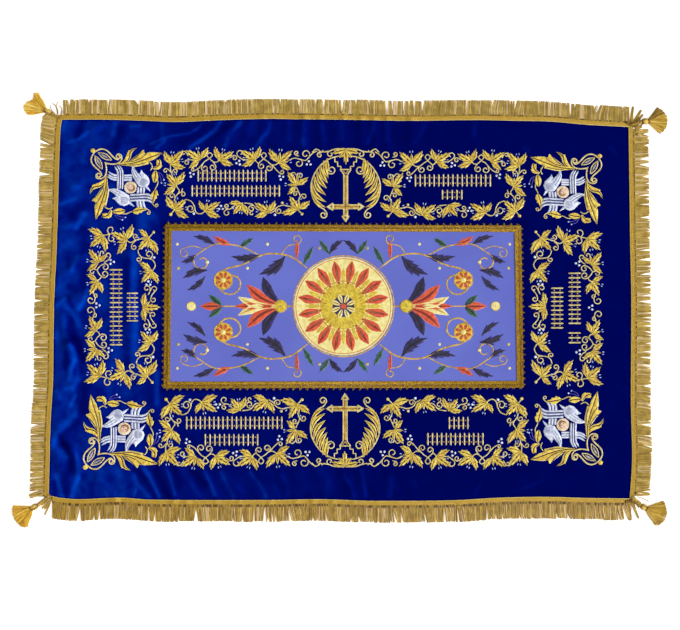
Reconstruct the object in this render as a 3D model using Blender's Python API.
"""An epitaphios shroud, laid out flat and face up on a floor.

A velvet ground carries a satin centre panel. Four lengths of pointed galloon cover the
panel's edge, four lengths of braid with fringe cover the velvet's edge, and each corner
has a tassel on a short stem.

Metres, +Z up. X runs along the cloth and Y across it. The origin is on the floor, under
the middle of the whole. The four sides are named back (+Y), front (-Y), left and right.
"""

import math
import random

import bmesh
import bpy
from mathutils import Matrix, Vector

MM = 0.001

# Layers, from the floor up
VELVET_THICK = 2.4 * MM
LAYER_GAP = 0.3 * MM
PANEL_THICK = 0.8 * MM
BRAID_THICK = 1.6 * MM

# Which sides run along X, and the sign of each side's outward axis
LONG_SIDES = ("back", "front")
OUTWARD = {"back": 1, "front": -1, "left": -1, "right": 1}

# The braid's inner edge, which is the velvet's visible outline, in mm.
# Back and front: place along X, then Y. Left and right: place along Y, then X.
OUTLINE = {
    "back": (
        (-714, 489), (-600, 489), (-500, 486), (-421, 483), (-300, 488), (-190, 491),
        (-103, 490), (0, 489), (180, 486), (347, 488), (455, 486), (540, 484),
        (632, 476), (741, 470),
    ),
    "front": (
        (-748, -476), (-720, -482), (-668, -486), (-565, -482), (-488, -487),
        (-180, -488), (-51, -486), (77, -490), (283, -489), (411, -482), (527, -480),
        (643, -483), (744, -484),
    ),
    "left": (
        (-476, -748), (-386, -746), (-283, -743), (-180, -737), (-77, -736), (26, -734),
        (129, -729), (206, -726), (360, -722), (463, -718), (489, -714),
    ),
    "right": (
        (-484, 744), (-386, 750), (-283, 748), (-231, 747), (26, 748), (180, 745),
        (334, 743), (470, 741),
    ),
}
VELVET_UNDER_BRAID = 9 * MM
SETTLE_STEPS = 8  # in which a point between two curved sides is found
# Grid of the velvet: where each run of columns or rows ends, and its pitch
COLUMN_RUNS = ((-640 * MM, 15 * MM), (230 * MM, 14.5 * MM), (744 * MM, 86 * MM))
FIRST_COLUMN = -736 * MM
FIRST_ROW = -485 * MM
ROW_RUNS = ((485 * MM, 24 * MM),)

# Soft ridges of the laid velvet, in mm: a line from one point to another, its height,
# and its half width
RIDGE_COLUMNS = ("x0", "y0", "x1", "y1", "height", "half_width")
RIDGES = (
    # back border, slanting streaks and then upright ones
    (-707, 439, -617, 473, 3.0, 12), (-483, 421, -350, 473, 3.5, 12),
    (-337, 429, -270, 473, 3.5, 10), (-293, 429, -249, 473, 3.0, 9),
    (-249, 429, -236, 478, 3.0, 9), (-203, 421, -200, 483, 2.5, 10),
    (-92, 421, -92, 483, 4.5, 11), (-46, 421, -51, 483, 3.0, 10),
    (8, 421, 8, 483, 3.0, 11), (54, 421, 54, 483, 3.0, 10),
    (92, 421, 87, 483, 3.0, 9), (121, 421, 121, 483, 2.5, 9),
    (182, 429, 182, 483, 2.5, 11),
    # left border, the most crumpled one
    (-707, 296, -668, 329, 3.0, 12), (-720, 193, -681, 226, 3.5, 13),
    (-722, 82, -668, 126, 5.0, 13), (-727, 15, -650, 36, 5.0, 13),
    (-714, -20, -694, -90, 6.0, 13), (-694, -90, -689, -193, 7.0, 14),
    (-714, -180, -725, -262, 4.0, 13), (-727, -296, -689, -355, 6.0, 13),
    (-689, -355, -668, -411, 5.0, 13), (-738, -334, -709, -437, 5.0, 12),
    # left part of the field
    (-540, 149, -537, -131, 3.5, 15), (-478, -208, -475, -321, 3.0, 11),
    # front border, leaning ridges
    (-622, -432, -578, -481, 3.0, 11), (-517, -411, -427, -478, 3.5, 11),
    (-460, -403, -393, -478, 3.5, 11), (-350, -411, -316, -478, 3.5, 10),
    (-298, -411, -260, -478, 3.0, 10), (-213, -411, -180, -478, 3.5, 10),
    (-159, -411, -113, -478, 3.0, 10), (-103, -411, -69, -478, 3.0, 10),
    (-41, -403, -18, -478, 3.5, 10), (3, -403, 36, -478, 3.5, 10),
    (54, -411, 98, -478, 3.0, 10), (121, -421, 149, -478, 2.5, 10),
)
LEAST_LIFT = 0.35 * MM  # lower swells lie flat
CORNER_FLAT = 40 * MM  # the cloth is flat this near each corner
FRAME_FLAT = 6 * MM  # and this near the galloon
FADE = 35 * MM  # over which ridges rise from those flat places

# Centre panel: its visible corners, in mm, counter-clockwise from front left
PANEL_CORNERS = ((-436, -184), (454, -182), (448, 200), (-432, 203))
PANEL_SIDES = ("front", "right", "back", "left")
PANEL_UNDER_GALLOON = 8 * MM

# Galloon: its section from its inner edge, as distance out and height over the velvet
GALLOON_WIDTH = 16 * MM
GALLOON_THICK = 1.2 * MM
GALLOON_EDGE = 1.4 * MM
TOOTH_PITCH = 16.5 * MM
TOOTH_BASE = 13 * MM
TOOTH_LENGTH = 6 * MM
TOOTH_TIP_THICK = 0.9 * MM

# Fringe: a braid with locks along its outer edge
BRAID_WIDTH = 12 * MM
MITRE_GAP = 0.2 * MM
LOCK_PITCH = 21 * MM
LOCK_WIDTH_SHARES = (0.7, 1.3)  # of the pitch, narrowest and widest
LOCK_GAPS = (0.6 * MM, 2.2 * MM)  # between roots
LOCK_TIP_SHARES = (0.5, 0.98, 0.95)  # tip width of root width: least, most, commonest
LOCK_REACH_SHARES = (0.93, 1.0)
LOCK_KNEE = 9 * MM  # where a lock comes down to the floor, from the braid
KNEE_THICK = 2.2 * MM
TIP_THICK = 1.3 * MM
# Where the locks of each side start and end along it, and their length, in mm
FRINGES = {
    "back": (-712, 742, 40),
    "front": (-740, 746, 42),
    "left": (-476, 486, 38),
    "right": (-476, 462, 40),
}

# Tassels, in mm and degrees: middle of the head, the way it points, the way of the
# skirt's two edges, and the skirt's length from the neck
TASSEL_COLUMNS = ("x", "y", "points", "skirt_from", "skirt_to", "length")
TASSELS = {
    "back_left": (-748, 508, 152, 112, 194, 57),
    "front_left": (-783, -505, 207, 173, 255, 54),
    "back_right": (782, 484, 4, -48, 57, 50),
    "front_right": (778, -505, -28, -60, 31, 54),
}
TASSEL_LOCKS = 13
# Head and neck of a tassel, turned about its own axis: place along the axis, then radius
HEAD_PROFILE = (
    (-9.0, 0.0), (-8.4, 2.6), (-6.4, 5.4), (-3.4, 7.5), (0.0, 8.2), (3.4, 7.5),
    (6.6, 5.9), (8.4, 5.2), (12.6, 5.2), (12.6, 0.0),
)
HEAD_HEIGHT = 7.9 * MM  # of the axis over the floor
HEAD_SIDES = 14
COLLAR_SECTION = ((8.9, 5.6), (9.3, 7.4), (10.4, 7.8), (11.5, 7.4), (11.9, 5.6))
SKIRT_ROOT = 9.5 * MM  # where the skirt's locks meet, from the head's middle
SKIRT_START = 1 * MM  # where they start, from that point
SKIRT_START_HALF = 3 * MM  # half their height there
SKIRT_KNEE = 16 * MM  # where they reach the floor, from that point
SKIRT_KNEE_THICK = 9.5 * MM
SKIRT_TIP_THICK = (4.2 * MM, 6.4 * MM)
STEM_RADIUS = 1.6 * MM
STEM_ON_CORNER = 4 * MM  # where the stem ends, from the outline's corner

COLOURS = {
    "velvet": (4, 22, 112),
    "satin": (108, 116, 199),
    "lace": (150, 112, 40),
    "braid": (176, 146, 62),
    "tassel": (226, 180, 52),
}


def clear_scene():
    for obj in list(bpy.data.objects):
        bpy.data.objects.remove(obj)


def principled(name, colour, roughness, metallic=0.0):
    """A plain material from a colour of 0 to 255 a channel, as a screen shows it."""
    material = bpy.data.materials.new(name)
    material.use_nodes = True
    shader = material.node_tree.nodes["Principled BSDF"]
    linear = [(channel / 255) ** 2.2 for channel in colour]
    shader.inputs["Base Color"].default_value = (*linear, 1.0)
    shader.inputs["Roughness"].default_value = roughness
    shader.inputs["Metallic"].default_value = metallic
    return material


def add_object(name, bm, material, smooth_angle=None):
    """Turns the bmesh into an object whose faces point out."""
    bmesh.ops.recalc_face_normals(bm, faces=bm.faces)
    mesh = bpy.data.meshes.new(name)
    bm.to_mesh(mesh)
    bm.free()
    if smooth_angle:
        mesh.shade_smooth()
        mesh.set_sharp_from_angle(angle=math.radians(smooth_angle))
    mesh.materials.append(material)
    obj = bpy.data.objects.new(name, mesh)
    bpy.context.scene.collection.objects.link(obj)
    return obj


def mix(a, b, share):
    return a + (b - a) * share


def smooth_step(value, low, high):
    share = min(max((value - low) / (high - low), 0.0), 1.0)
    return share * share * (3 - 2 * share)


def edge_place(side, along):
    """Where the outline of this side lies, on a smooth curve through its table's rows."""
    rows = [(a * MM, b * MM) for a, b in OUTLINE[side]]
    along = min(max(along, rows[0][0]), rows[-1][0])
    i = next(i for i in range(len(rows) - 1) if along <= rows[i + 1][0])
    (a0, b0), (a1, b1) = rows[i], rows[i + 1]
    before, after = rows[max(i - 1, 0)], rows[min(i + 2, len(rows) - 1)]
    slope0 = (b1 - before[1]) / (a1 - before[0])
    slope1 = (after[1] - b0) / (after[0] - a0)
    run, t = a1 - a0, (along - a0) / (a1 - a0)
    return (
        (2 * t**3 - 3 * t**2 + 1) * b0
        + (t**3 - 2 * t**2 + t) * run * slope0
        + (3 * t**2 - 2 * t**3) * b1
        + (t**3 - t**2) * run * slope1
    )


def corner(back_or_front, left_or_right, out):
    """Where two sides meet, with the outline moved out by this much."""
    x, y = 0.0, 0.0
    for _ in range(SETTLE_STEPS):
        x = edge_place(left_or_right, y) + OUTWARD[left_or_right] * out
        y = edge_place(back_or_front, x) + OUTWARD[back_or_front] * out
    return Vector((x, y))


CORNERS = [
    corner(back_or_front, left_or_right, 0.0)
    for back_or_front in ("back", "front")
    for left_or_right in ("left", "right")
]


def outset(corners, distance):
    """The corners, counter-clockwise, of a shape whose sides are moved out by this much."""
    moved = []
    for i, here in enumerate(corners):
        before, after = corners[i - 1], corners[(i + 1) % len(corners)]
        way_in = (here - before).normalized()
        way_out = (after - here).normalized()
        normal_in = Vector((way_in.y, -way_in.x))
        normal_out = Vector((way_out.y, -way_out.x))
        middle = (normal_in + normal_out) / (1 + normal_in.dot(normal_out))
        moved.append(here + middle * distance)
    return moved


PANEL = [Vector(point) * MM for point in PANEL_CORNERS]
FRAME_BOX = outset(PANEL, GALLOON_WIDTH + TOOTH_LENGTH)


def from_frame(x, y):
    """How far a point lies outside the galloon's box."""
    xs, ys = [p.x for p in FRAME_BOX], [p.y for p in FRAME_BOX]
    dx = max(min(xs) - x, x - max(xs), 0.0)
    dy = max(min(ys) - y, y - max(ys), 0.0)
    return math.hypot(dx, dy)


def lift(x, y):
    """How far the velvet's underside is off the floor."""
    total = 0.0
    for row in RIDGES:
        ridge = dict(zip(RIDGE_COLUMNS, row))
        start = Vector((ridge["x0"], ridge["y0"])) * MM
        run = Vector((ridge["x1"], ridge["y1"])) * MM - start
        share = (Vector((x, y)) - start).dot(run) / run.length_squared
        off = (Vector((x, y)) - start - run * min(max(share, 0.0), 1.0)).length
        total += ridge["height"] * MM * math.exp(-((off / (ridge["half_width"] * MM)) ** 2))
    from_corner = min((Vector((x, y)) - point).length for point in CORNERS)
    total *= smooth_step(from_corner, CORNER_FLAT, CORNER_FLAT + FADE)
    total *= smooth_step(from_frame(x, y), FRAME_FLAT, FRAME_FLAT + FADE)
    return max(total - LEAST_LIFT, 0.0)


def stations(first, runs):
    """Places from the first one on, at each run's own pitch."""
    places = [first]
    for end, pitch in runs:
        start = places[-1]
        count = max(round((end - start) / pitch), 1)
        places += [mix(start, end, i / count) for i in range(1, count + 1)]
    return places


def shares(places):
    return [(place - places[0]) / (places[-1] - places[0]) for place in places]


COLUMN_SHARES = shares(stations(FIRST_COLUMN, COLUMN_RUNS))
ROW_SHARES = shares(stations(FIRST_ROW, ROW_RUNS))


def ground_point(column, row):
    """A point of the grid between the four outlines, from its two shares."""
    x, y = 0.0, 0.0
    for _ in range(SETTLE_STEPS):
        x = mix(edge_place("left", y), edge_place("right", y), column)
        y = mix(edge_place("front", x), edge_place("back", x), row)
    return Vector((x, y))


def side_knots(side):
    """The grid's points on one side's outline, in order along it, each with its lift."""
    if side in LONG_SIDES:
        points = [ground_point(share, float(side == "back")) for share in COLUMN_SHARES]
        return [(p.x, p.y, lift(p.x, p.y)) for p in points]
    points = [ground_point(float(side == "right"), share) for share in ROW_SHARES]
    return [(p.y, p.x, lift(p.x, p.y)) for p in points]


def velvet_ground(material):
    """One sheet whose rim lies under the braid, lifted off the floor in soft ridges."""
    columns = [0.0, *COLUMN_SHARES, 1.0]
    rows = [0.0, *ROW_SHARES, 1.0]
    bm = bmesh.new()
    layers = ([], [])
    for j, row in enumerate(rows):
        for layer in layers:
            layer.append([])
        for i, column in enumerate(columns):
            point = ground_point(column, row)
            height = lift(point.x, point.y)
            beside = (i == len(columns) - 1) - (i == 0)
            beyond = (j == len(rows) - 1) - (j == 0)
            x = point.x + beside * VELVET_UNDER_BRAID
            y = point.y + beyond * VELVET_UNDER_BRAID
            layers[0][-1].append(bm.verts.new((x, y, height)))
            layers[1][-1].append(bm.verts.new((x, y, height + VELVET_THICK)))
    last_row, last_column = len(rows) - 1, len(columns) - 1
    for layer in layers:
        for j in range(last_row):
            for i in range(last_column):
                a, b = layer[j][i], layer[j][i + 1]
                c, d = layer[j + 1][i + 1], layer[j + 1][i]
                bm.faces.new((a, b, c))
                bm.faces.new((a, c, d))
    rim = [(0, i) for i in range(last_column)]
    rim += [(j, last_column) for j in range(last_row)]
    rim += [(last_row, i) for i in range(last_column, 0, -1)]
    rim += [(j, 0) for j in range(last_row, 0, -1)]
    for (j0, i0), (j1, i1) in zip(rim, rim[1:] + rim[:1]):
        low, high = layers
        bm.faces.new((low[j0][i0], low[j1][i1], high[j1][i1], high[j0][i0]))
    return add_object("velvet_ground", bm, material, smooth_angle=60)


def centre_panel(material):
    bm = bmesh.new()
    low = VELVET_THICK + LAYER_GAP
    outline = outset(PANEL, PANEL_UNDER_GALLOON)
    rings = [
        [bm.verts.new((p.x, p.y, z)) for p in outline] for z in (low, low + PANEL_THICK)
    ]
    for ring in rings:
        bm.faces.new(ring)
    for i in range(len(outline)):
        k = (i + 1) % len(outline)
        bm.faces.new((rings[0][i], rings[0][k], rings[1][k], rings[1][i]))
    return add_object("centre_panel", bm, material)


def galloon_section():
    """The galloon's section, from its inner edge: its outer part lies on the velvet, and
    its inner part steps up on the panel's edge."""
    on_velvet = VELVET_THICK + LAYER_GAP
    on_panel = on_velvet + PANEL_THICK + LAYER_GAP
    step = PANEL_UNDER_GALLOON + LAYER_GAP
    return (
        (0.0, on_panel),
        (step, on_panel),
        (step, on_velvet),
        (GALLOON_WIDTH, on_velvet),
        (GALLOON_WIDTH, on_velvet + GALLOON_EDGE),
        (step + LAYER_GAP, on_panel + GALLOON_THICK),
        (0.0, on_panel + GALLOON_THICK),
    )


def galloon(side, material):
    """One length of galloon: a swept section with mitred ends and pointed teeth."""
    index = PANEL_SIDES.index(side)
    section = galloon_section()
    low_edge, high_edge = 3, 4  # the two points of the section that carry the teeth
    bm = bmesh.new()
    ends = ([], [])
    for out, z in section:
        corners = outset(PANEL, out)
        start, end = corners[index], corners[(index + 1) % 4]
        trim = (end - start).normalized() * MITRE_GAP
        ends[0].append(bm.verts.new((*(start + trim), z)))
        ends[1].append(bm.verts.new((*(end - trim), z)))
    low0, low1 = ends[0][low_edge].co, ends[1][low_edge].co
    way = (low1 - low0).normalized()
    outward = Vector((way.y, -way.x, 0.0))
    length = (low1 - low0).length
    count = round(length / TOOTH_PITCH)
    pitch = length / count
    edges = ([ends[0][low_edge]], [ends[0][high_edge]])
    up = Vector((0.0, 0.0, GALLOON_EDGE))
    for i in range(count):
        middle = low0 + way * pitch * (i + 0.5)
        bases = []
        for half in (-TOOTH_BASE / 2, TOOTH_BASE / 2):
            low = bm.verts.new(middle + way * half)
            high = bm.verts.new(middle + way * half + up)
            bases.append((low, high))
        tip = middle + outward * TOOTH_LENGTH
        low_tip = bm.verts.new(tip)
        high_tip = bm.verts.new(tip + Vector((0.0, 0.0, TOOTH_TIP_THICK)))
        (low_a, high_a), (low_b, high_b) = bases
        bm.faces.new((low_a, low_b, low_tip))
        bm.faces.new((high_a, high_tip, high_b))
        bm.faces.new((low_a, low_tip, high_tip, high_a))
        bm.faces.new((low_tip, low_b, high_b, high_tip))
        bm.faces.new((edges[0][-1], low_a, high_a, edges[1][-1]))
        edges[0].extend((low_a, low_b))
        edges[1].extend((high_a, high_b))
    edges[0].append(ends[1][low_edge])
    edges[1].append(ends[1][high_edge])
    bm.faces.new((edges[0][-2], edges[0][-1], edges[1][-1], edges[1][-2]))
    for i in range(len(section)):
        k = (i + 1) % len(section)
        if (i, k) == (low_edge, high_edge):
            continue
        first = edges[i - low_edge] if i in (low_edge, high_edge) else (ends[0][i], ends[1][i])
        second = edges[k - low_edge] if k in (low_edge, high_edge) else (ends[0][k], ends[1][k])
        bm.faces.new((*first, *reversed(second)))
    for end in ends:
        bm.faces.new(end)
    return add_object(f"galloon_{side}", bm, material)


def braid_lines(side):
    """The braid's inner and outer edge, each a list of (along, across, lift) with its
    mitred ends."""
    knots = side_knots(side)[1:-1]
    lines = []
    for out in (0.0, BRAID_WIDTH):
        line = [(along, across + OUTWARD[side] * out, height) for along, across, height in knots]
        for low_end in (True, False):
            if side in LONG_SIDES:
                names = (side, "left" if low_end else "right")
                along, across = corner(*names, out)
            else:
                names = ("front" if low_end else "back", side)
                across, along = corner(*names, out)
            trim = MITRE_GAP if low_end else -MITRE_GAP
            line.insert(0 if low_end else len(line), (along + trim, across, 0.0))
        lines.append(line)
    return lines


def on_line(line, along):
    """Across and lift on a line, straight between its points."""
    a, b = next(pair for pair in zip(line, line[1:]) if along <= pair[1][0])
    share = (along - a[0]) / (b[0] - a[0])
    return mix(a[1], b[1], share), mix(a[2], b[2], share)


def lock_roots(start, end, rng):
    """Cuts a run of the braid into uneven cells and gives each lock's two root places. Each
    lock stays in its cell, so that locks stand apart."""
    count = round((end - start) / LOCK_PITCH)
    widths = [rng.uniform(*LOCK_WIDTH_SHARES) for _ in range(count)]
    scale = (end - start) / sum(widths)
    roots, place = [], start
    for width in widths:
        gap = rng.uniform(*LOCK_GAPS)
        roots.append((place + gap / 2, place + width * scale - gap / 2))
        place += width * scale
    return roots


def lock(bm, side, root, low, high, length, rng):
    """One lock of four sides, from its root's lower and upper vertices on the braid down
    to a knee on the floor, and level from there to its tip."""
    middle, half = (low + high) / 2, (high - low) / 2
    across = sum(on_axes(side, pair[0].co)[1] for pair in root) / len(root)
    tip_half = half * rng.triangular(*LOCK_TIP_SHARES)
    lean = rng.uniform(-1, 1) * (half - tip_half)
    reach = length * rng.uniform(*LOCK_REACH_SHARES)
    rings = []
    for out, half_width, shift, thick in (
        (LOCK_KNEE, half, 0.0, KNEE_THICK),
        (reach, tip_half, lean, TIP_THICK),
    ):
        place = across + OUTWARD[side] * out
        rings.append([
            [bm.verts.new((*on_axes(side, (along, place)), z)) for z in (0.0, thick)]
            for along in (middle + shift - half_width, middle + shift + half_width)
        ])
    knee, tip = rings
    for level in (0, 1):
        bm.faces.new((*(pair[level] for pair in root), knee[1][level], knee[0][level]))
        bm.faces.new((knee[0][level], knee[1][level], tip[1][level], tip[0][level]))
    for edge in (0, 1):
        bm.faces.new((*root[-edge], *reversed(knee[edge])))
        bm.faces.new((*knee[edge], *reversed(tip[edge])))
    bm.faces.new((*tip[0], *reversed(tip[1])))


def on_axes(side, pair):
    """Swaps along and across into X and Y, and back."""
    return (pair[0], pair[1]) if side in LONG_SIDES else (pair[1], pair[0])


def fringe(side, material, rng):
    """A braid over the velvet's rim, with locks along its outer edge."""
    start, end, length = (value * MM for value in FRINGES[side])
    inner_line, outer_line = braid_lines(side)
    roots = lock_roots(start, end, rng)
    stops = [(*point, True) for point in outer_line]
    stops += [(a, *on_line(outer_line, a), False) for root in roots for a in root]
    stops.sort()
    knots = [i for i, stop in enumerate(stops) if stop[3]]
    bm = bmesh.new()

    def pairs(line):
        """A lower and an upper vertex at each point."""
        low = VELVET_THICK + LAYER_GAP
        return [
            [
                bm.verts.new((*on_axes(side, (along, across)), height + z))
                for z in (low, low + BRAID_THICK)
            ]
            for along, across, height in line
        ]

    inner = pairs(inner_line)
    outer = pairs([stop[:3] for stop in stops])
    for k in range(len(inner) - 1):
        bm.faces.new((*inner[k], *reversed(inner[k + 1])))
        for level in (0, 1):
            rim = [outer[i][level] for i in range(knots[k], knots[k + 1] + 1)]
            bm.faces.new((inner[k + 1][level], inner[k][level], *rim))
    for i in (0, -1):
        bm.faces.new((*inner[i], *reversed(outer[i])))
    for i in range(len(stops) - 1):
        middle = (stops[i][0] + stops[i + 1][0]) / 2
        if not any(low < middle < high for low, high in roots):
            bm.faces.new((*outer[i], *reversed(outer[i + 1])))
    for low, high in roots:
        root = [outer[i] for i, stop in enumerate(stops) if low <= stop[0] <= high]
        lock(bm, side, root, low, high, length, rng)
    return add_object(f"fringe_{side}", bm, material)


def turned(profile, sides, closed):
    """Turns a profile of (place along X, radius) in mm about the X axis. A closed profile
    makes a ring, and an open one starts and ends on the axis."""
    bm = bmesh.new()
    rings = []
    for place, radius in profile:
        if radius == 0.0:
            rings.append([bm.verts.new((place * MM, 0.0, 0.0))])
            continue
        ring = []
        for i in range(sides):
            angle = 2 * math.pi * i / sides
            point = (place, radius * math.cos(angle), radius * math.sin(angle))
            ring.append(bm.verts.new(Vector(point) * MM))
        rings.append(ring)
    pairs = list(zip(rings, rings[1:]))
    if closed:
        pairs.append((rings[-1], rings[0]))
    for a, b in pairs:
        for i in range(sides):
            k = (i + 1) % sides
            if len(a) == 1:
                bm.faces.new((a[0], b[i], b[k]))
            elif len(b) == 1:
                bm.faces.new((a[i], b[0], a[k]))
            else:
                bm.faces.new((a[i], b[i], b[k], a[k]))
    return bm


def rest_on_floor(bm):
    """Raises a turned shape to the head's height and flattens what would be below z = 0."""
    for v in bm.verts:
        v.co.z = max(v.co.z + HEAD_HEIGHT, 0.0)
    return bm


def skirt_locks(tassel, rng):
    """Wedges that fan out from the neck and come to rest level on the floor."""
    bm = bmesh.new()
    spread = math.radians(tassel["skirt_to"] - tassel["skirt_from"])
    first = math.radians(tassel["skirt_from"] - tassel["points"])
    pitch = spread / TASSEL_LOCKS
    length = tassel["length"] * MM
    for i in range(TASSEL_LOCKS):
        angle = first + pitch * (i + 0.5)
        reach = length * rng.uniform(*LOCK_REACH_SHARES)
        tip_thick = rng.uniform(*SKIRT_TIP_THICK)
        rings = []
        # distance from the root, share of the pitch, lowest and highest point
        for out, share, low, high in (
            (SKIRT_START, 0.9, HEAD_HEIGHT - SKIRT_START_HALF, HEAD_HEIGHT + SKIRT_START_HALF),
            (SKIRT_KNEE, 0.84, 0.0, SKIRT_KNEE_THICK),
            (reach, 0.86, 0.0, tip_thick),
        ):
            ring = []
            for turn, z in ((-1, low), (1, low), (1, high), (-1, high)):
                way = angle + turn * pitch * share / 2
                x = SKIRT_ROOT + out * math.cos(way)
                ring.append(bm.verts.new((x, out * math.sin(way), z)))
            rings.append(ring)
        for a, b in zip(rings, rings[1:]):
            for k in range(4):
                m = (k + 1) % 4
                bm.faces.new((a[k], a[m], b[m], b[k]))
        bm.faces.new(rings[0])
        bm.faces.new(rings[-1])
    return bm


def tassel_group(name, row, materials, rng):
    """A tassel at its place: head with skirt, collar round the neck, and the stem that
    ties it to the corner."""
    tassel = dict(zip(TASSEL_COLUMNS, row))
    place = bpy.data.objects.new(f"tassel_place_{name}", None)
    bpy.context.scene.collection.objects.link(place)
    place.location = (tassel["x"] * MM, tassel["y"] * MM, 0.0)
    place.rotation_euler.z = math.radians(tassel["points"])

    head = rest_on_floor(turned(HEAD_PROFILE, HEAD_SIDES, closed=False))
    head = add_object(f"tassel_{name}", head, materials["tassel"], smooth_angle=40)
    locks = add_object(f"skirt_locks_{name}", skirt_locks(tassel, rng), materials["tassel"])
    locks.hide_render = True
    locks.display_type = "WIRE"
    union = head.modifiers.new("skirt", "BOOLEAN")
    union.operation = "UNION"
    union.object = locks
    union.use_self = True

    collar = rest_on_floor(turned(COLLAR_SECTION, HEAD_SIDES, closed=True))
    collar = add_object(f"tassel_collar_{name}", collar, materials["braid"], smooth_angle=60)
    stem = tassel_stem(name, tassel, materials["braid"])
    for obj in (head, locks, collar, stem):
        obj.parent = place


def tassel_stem(name, tassel, material):
    """A short cord from the back of the head to the top of the braid's corner, where its
    end is sewn down."""
    back_or_front, left_or_right = name.split("_")
    middle = Vector((tassel["x"], tassel["y"])) * MM
    on_braid = VELVET_THICK + BRAID_THICK + 2 * LAYER_GAP + STEM_RADIUS
    sewn_end = corner(back_or_front, left_or_right, STEM_ON_CORNER) - middle
    sewn_end.rotate(Matrix.Rotation(math.radians(-tassel["points"]), 2))
    first = Vector((HEAD_PROFILE[0][0] * MM - LAYER_GAP, 0.0, HEAD_HEIGHT))
    last = Vector((*sewn_end, on_braid))
    points = [first]
    for share, rise in ((0.3, 0.3), (0.55, 0.65), (0.75, 0.9), (1.0, 1.0)):
        point = first.lerp(last, share)
        point.z = mix(first.z, last.z, rise)
        points.append(point)
    curve = bpy.data.curves.new(f"tassel_stem_{name}", "CURVE")
    curve.dimensions = "3D"
    curve.bevel_depth = STEM_RADIUS
    curve.bevel_resolution = 2
    curve.use_fill_caps = True
    spline = curve.splines.new("POLY")
    spline.points.add(len(points) - 1)
    for target, point in zip(spline.points, points):
        target.co = (*point, 1.0)
    curve.materials.append(material)
    stem = bpy.data.objects.new(f"tassel_stem_{name}", curve)
    bpy.context.scene.collection.objects.link(stem)
    return stem


def main():
    clear_scene()
    materials = {
        "velvet": principled("velvet", COLOURS["velvet"], 0.85),
        "satin": principled("satin", COLOURS["satin"], 0.45),
        "lace": principled("lace", COLOURS["lace"], 0.4, 0.6),
        "braid": principled("braid", COLOURS["braid"], 0.5, 0.3),
        "tassel": principled("tassel", COLOURS["tassel"], 0.5, 0.2),
    }
    rng = random.Random(11)
    velvet_ground(materials["velvet"])
    centre_panel(materials["satin"])
    for side in PANEL_SIDES:
        galloon(side, materials["lace"])
    for side in FRINGES:
        fringe(side, materials["braid"], rng)
    for name, row in TASSELS.items():
        tassel_group(name, row, materials, rng)


main()
